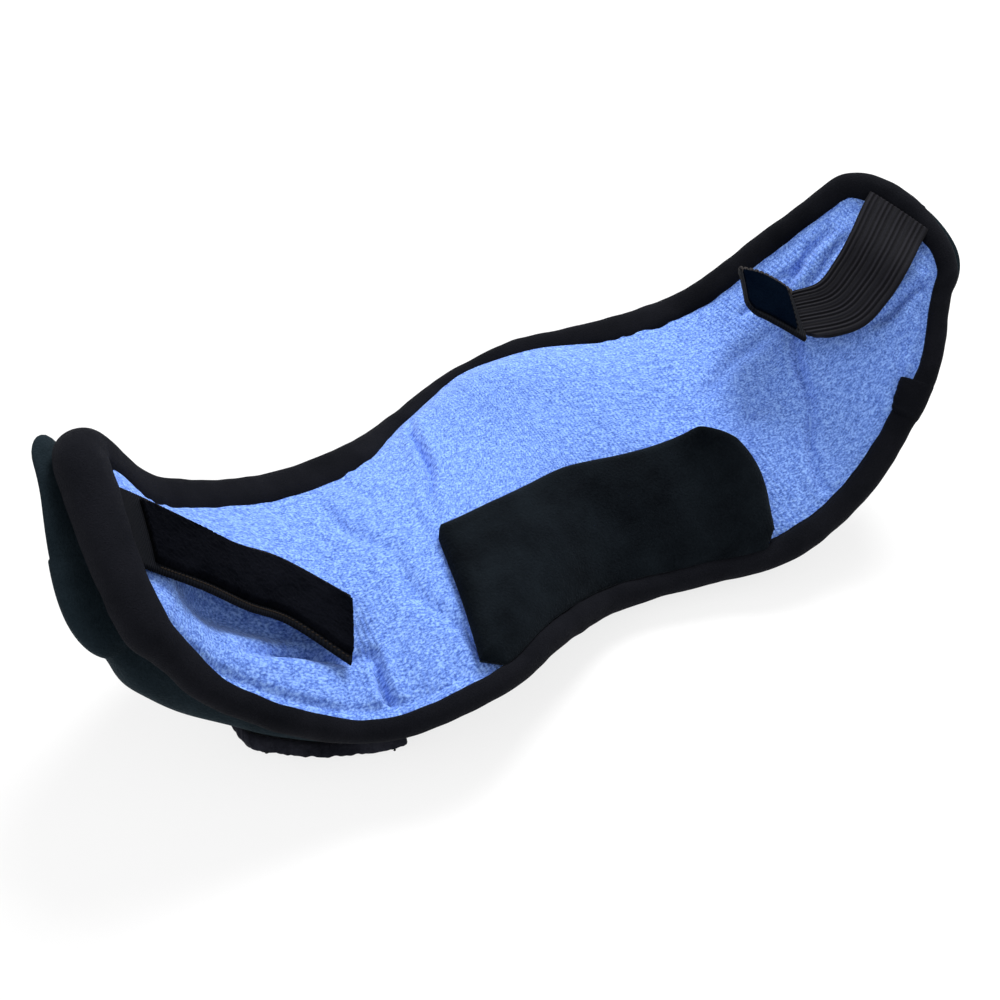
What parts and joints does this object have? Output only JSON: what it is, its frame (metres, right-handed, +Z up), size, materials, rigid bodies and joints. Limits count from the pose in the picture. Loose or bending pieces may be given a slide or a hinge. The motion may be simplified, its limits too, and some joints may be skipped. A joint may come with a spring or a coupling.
{
  "type": "padded sleep eye mask",
  "caption": "Padded sleep eye mask lying open with its lining up, with a rolled edge binding, a nose flap and a hook-and-loop head strap in two ends.",
  "frame": {"origin": "on the floor under the middle of the mask as it lies open, lining up", "axes": "+X from the left strap end to the right strap end, +Y from the nose edge to the forehead edge, +Z up out of the lining"},
  "size_m": [0.2329, 0.1029, 0.0795],
  "materials": {
    "velvet": "napped",
    "padding": "fibre",
    "blackout": "plain weave",
    "jersey": "heather knit",
    "binding": "matte",
    "fleece": "brushed",
    "flap_velvet": "napped",
    "webbing": "plain weave",
    "loop_pile": "loop pile",
    "elastic": "ribbed",
    "hooks": "hook pile",
    "brown_thread": "thread",
    "black_thread": "thread"
  },
  "bodies": {
    "mask": {"outer_shell": "velvet", "outer_padding": "padding", "blackout_layer": "blackout", "inner_wadding": "padding", "lining": "jersey", "edge_binding": "binding", "binding_lap": "binding", "outer_patch": "fleece", "outer_patch_stitching": "black_thread"},
    "nose_flap": {"nose_flap_back": "jersey", "nose_flap_foam": "padding", "nose_flap_front": "flap_velvet"},
    "left_strap": {"left_strap": "webbing", "left_loop_pile": "loop_pile", "left_strap_stitching": "brown_thread"},
    "right_strap": {"right_strap": "elastic"},
    "hook_tab": {"hook_tab": "webbing", "hook_field": "hooks", "tab_overlock": "black_thread", "tab_seam": "black_thread"}
  },
  "joints": [
    {"name": "nose_flap_hinge", "type": "hinge", "parent": "mask", "child": "nose_flap", "pos_m": [-0.04261, -0.04269, 0.02728], "axis": [0.994, 0.0058, -0.109], "range_deg": [0, 100]},
    {"name": "left_strap_hinge", "type": "hinge", "parent": "mask", "child": "left_strap", "pos_m": [-0.1015, -0.0039, 0.057], "axis": [-0.1513, -0.9584, -0.2421], "range_deg": [0, 110]},
    {"name": "right_strap_hinge", "type": "hinge", "parent": "mask", "child": "right_strap", "pos_m": [0.1047, -0.0056, 0.0742], "axis": [-0.2612, 0.9442, 0.2009], "range_deg": [0, 110]},
    {"name": "hook_tab_fold", "type": "hinge", "parent": "right_strap", "child": "hook_tab", "pos_m": [0.0778, -0.0053, 0.0532], "axis": [-0.4628, -0.8752, -0.1408], "range_deg": [-70, 40]}
  ]
}
